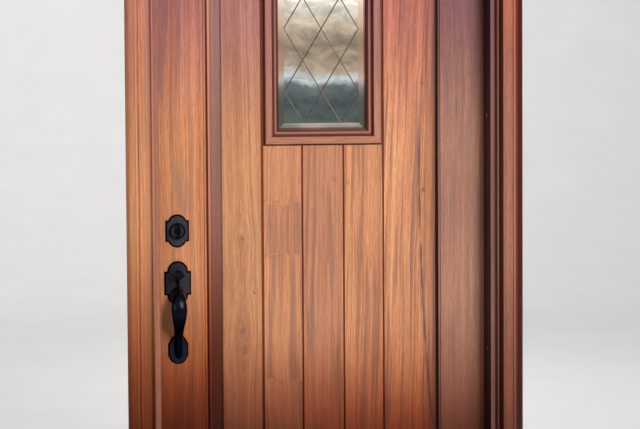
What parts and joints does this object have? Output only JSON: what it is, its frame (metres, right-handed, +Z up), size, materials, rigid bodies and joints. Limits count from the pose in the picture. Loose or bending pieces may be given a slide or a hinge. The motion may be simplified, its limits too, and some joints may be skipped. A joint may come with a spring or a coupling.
{
  "type": "panelled front door",
  "caption": "Stained hardwood plank front door with a glazed lattice light, black thumb-latch pull handle and deadbolt, hung in its jambs, casing and sill.",
  "frame": {"origin": "centre of the underside of the sill, at mid-depth of the jambs", "axes": "+Z up along the door's height, +Y from the street towards the room through the wall, +X along the sill towards the hinges"},
  "size_m": [1.066, 0.1945, 2.152],
  "materials": {
    "mahogany": "satin stain and varnish, ribbon grain",
    "dark_mahogany": "satin stain and varnish",
    "black_iron": "matte black",
    "zinc_steel": "zinc plated",
    "brown_seal": "dark brown extrusion",
    "clear_glass": "clear, bevelled and V-cut",
    "mill_aluminium": "mill",
    "satin_brass": "satin"
  },
  "bodies": {
    "frame": {"sill": "dark_mahogany", "hinge_jamb": "dark_mahogany", "strike_jamb": "dark_mahogany", "head_jamb": "dark_mahogany", "hinge_side_casing": "dark_mahogany", "lock_side_casing": "dark_mahogany", "head_casing": "dark_mahogany", "hinge_side_seal": "brown_seal", "lock_side_seal": "brown_seal", "head_seal": "brown_seal", "upper_hinge_frame_plate": "black_iron", "middle_hinge_frame_plate": "black_iron", "lower_hinge_frame_plate": "black_iron", "hinge_pins": "black_iron", "frame_plate_screws": "black_iron", "frame_corner_screws": "zinc_steel", "latch_strike_plate": "black_iron", "deadbolt_strike_plate": "black_iron"},
    "leaf": {"lock_stile": "mahogany", "hinge_stile": "mahogany", "top_rail": "mahogany", "bottom_rail": "mahogany", "narrow_board": "mahogany", "left_plank": "mahogany", "centre_left_plank": "mahogany", "centre_middle_plank": "mahogany", "centre_right_plank": "mahogany", "right_plank": "mahogany", "lite_moulding_left": "mahogany", "lite_moulding_right": "mahogany", "lite_moulding_bottom": "mahogany", "lite_moulding_top": "mahogany", "inner_moulding_left": "mahogany", "inner_moulding_right": "mahogany", "inner_moulding_bottom": "mahogany", "inner_moulding_top": "mahogany", "outer_pane": "clear_glass", "glass_spacer": "mill_aluminium", "lattice_pane": "clear_glass", "door_sweep": "brown_seal", "deadbolt_outer_plate": "black_iron", "deadbolt_cylinder": "black_iron", "deadbolt_case": "zinc_steel", "deadbolt_inner_plate": "black_iron", "handle_upper_plate": "black_iron", "pull_grip": "black_iron", "foot_rosette": "black_iron", "latch_case": "zinc_steel", "inner_rose": "black_iron", "through_screws": "zinc_steel", "leaf_plate_screws": "black_iron", "upper_hinge_leaf_plate": "black_iron", "middle_hinge_leaf_plate": "black_iron", "lower_hinge_leaf_plate": "black_iron"},
    "outer_key_plug": {"key_plug": "satin_brass"},
    "inner_thumb_turn": {"thumb_turn": "black_iron"},
    "deadbolt": {"deadbolt_bolt": "satin_brass"},
    "thumb_lever": {"thumb_piece": "black_iron"},
    "room_lever": {"inside_lever": "black_iron"},
    "latch": {"latch_bolt": "satin_brass"}
  },
  "joints": [
    {"name": "leaf_swing", "type": "hinge", "parent": "frame", "child": "leaf", "pos_m": [0.4585, 0.0645, 1.06], "axis": [0, 0, -1], "range_deg": [0, 110]},
    {"name": "thumb_turn_turn", "type": "hinge", "parent": "leaf", "child": "inner_thumb_turn", "pos_m": [-0.397, 0.058, 1.0977], "axis": [0, 1, 0], "range_deg": [0, 90]},
    {"name": "deadbolt_throw", "type": "slide", "parent": "leaf", "child": "deadbolt", "axis": [-1, 0, 0], "range_m": [0, 0.0254]},
    {"name": "key_plug_turn", "type": "hinge", "parent": "leaf", "child": "outer_key_plug", "pos_m": [-0.397, 0, 1.0977], "axis": [0, 1, 0], "range_deg": [-90, 90]},
    {"name": "inside_lever_turn", "type": "hinge", "parent": "leaf", "child": "room_lever", "pos_m": [-0.397, 0.058, 0.958], "axis": [0, 1, 0], "range_deg": [0, 45], "stiffness_Nm_per_rad": 1, "springref_deg": -28.65},
    {"name": "latch_draw", "type": "slide", "parent": "leaf", "child": "latch", "axis": [1, 0, 0], "range_m": [0, 0.0127]},
    {"name": "thumb_press", "type": "hinge", "parent": "leaf", "child": "thumb_lever", "pos_m": [-0.397, 0.0169, 0.964], "axis": [1, 0, 0], "range_deg": [0, 18.1]}
  ],
  "couplings": [
    {"joint": "thumb_turn_turn", "follows": "deadbolt_throw", "rad_per_m": 61.84},
    {"joint": "latch_draw", "follows": "inside_lever_turn", "m_per_rad": 0.01617},
    {"joint": "thumb_press", "follows": "inside_lever_turn", "ratio": 0.4}
  ]
}
